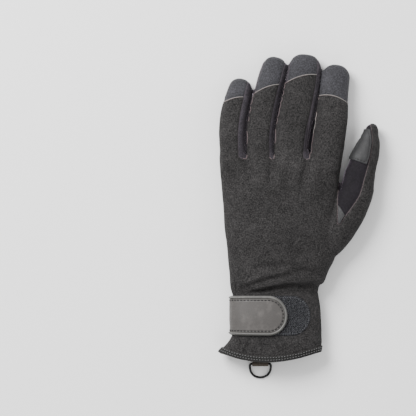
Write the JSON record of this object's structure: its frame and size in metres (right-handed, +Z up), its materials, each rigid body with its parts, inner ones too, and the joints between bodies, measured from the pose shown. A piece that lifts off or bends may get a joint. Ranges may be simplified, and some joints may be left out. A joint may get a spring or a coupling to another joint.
{
  "type": "diving glove",
  "caption": "Left-hand glove for warm-water diving, lying palm down: soft foam-rubber back, leather grip patches, wrist strap over a pile patch, and a D-ring in a webbing tab at the palm's hem",
  "frame": {"origin": "centre of the part's box in plan, on the surface that the glove lies on, palm down", "axes": "+X to the thumb's side of this left-hand glove, +Y to the fingertips, +Z up out of the back of the hand"},
  "size_m": [0.1342, 0.2704, 0.032],
  "materials": {
    "foam_rubber": "matte, fine knit face on 1.5 mm foam rubber",
    "palm_fabric": "matte, brushed, dark with a purple tone",
    "cap_fabric": "matte, fine ribbed knit, blue grey",
    "grip_leather": "soft gloss, fine grain, grey",
    "strap_leather": "soft gloss, smooth, warm grey",
    "strap_binding": "soft gloss, light grey piping",
    "pile": "matte, looped pile",
    "hem_tape": "matte, stitched tape",
    "webbing": "matte, ribbed webbing, dark brown",
    "black_metal": "gloss black wire"
  },
  "bodies": {
    "glove": {"back_panel": "foam_rubber", "palm_panel": "palm_fabric", "thumb_front": "palm_fabric", "tip_cap_little": "cap_fabric", "side_wall_little": "palm_fabric", "tip_cap_ring": "cap_fabric", "side_wall_ring": "palm_fabric", "tip_cap_middle": "cap_fabric", "side_wall_middle": "palm_fabric", "tip_cap_index": "cap_fabric", "side_wall_index": "palm_fabric", "palm_patch": "grip_leather", "finger_pad_little": "grip_leather", "finger_pad_ring": "grip_leather", "finger_pad_middle": "grip_leather", "finger_pad_index": "grip_leather", "thumb_pad": "grip_leather", "pile_patch": "pile", "wrist_strap": "strap_leather", "strap_binding": "strap_binding", "hem_tape": "hem_tape", "ring_tab": "webbing"},
    "ring": {"d_ring": "black_metal"}
  },
  "joints": [
    {"name": "ring_swing", "type": "hinge", "parent": "glove", "child": "ring", "pos_m": [-0.03208, -0.12261, 0.004], "axis": [-1, 0, 0], "range_deg": [0, 150]}
  ]
}
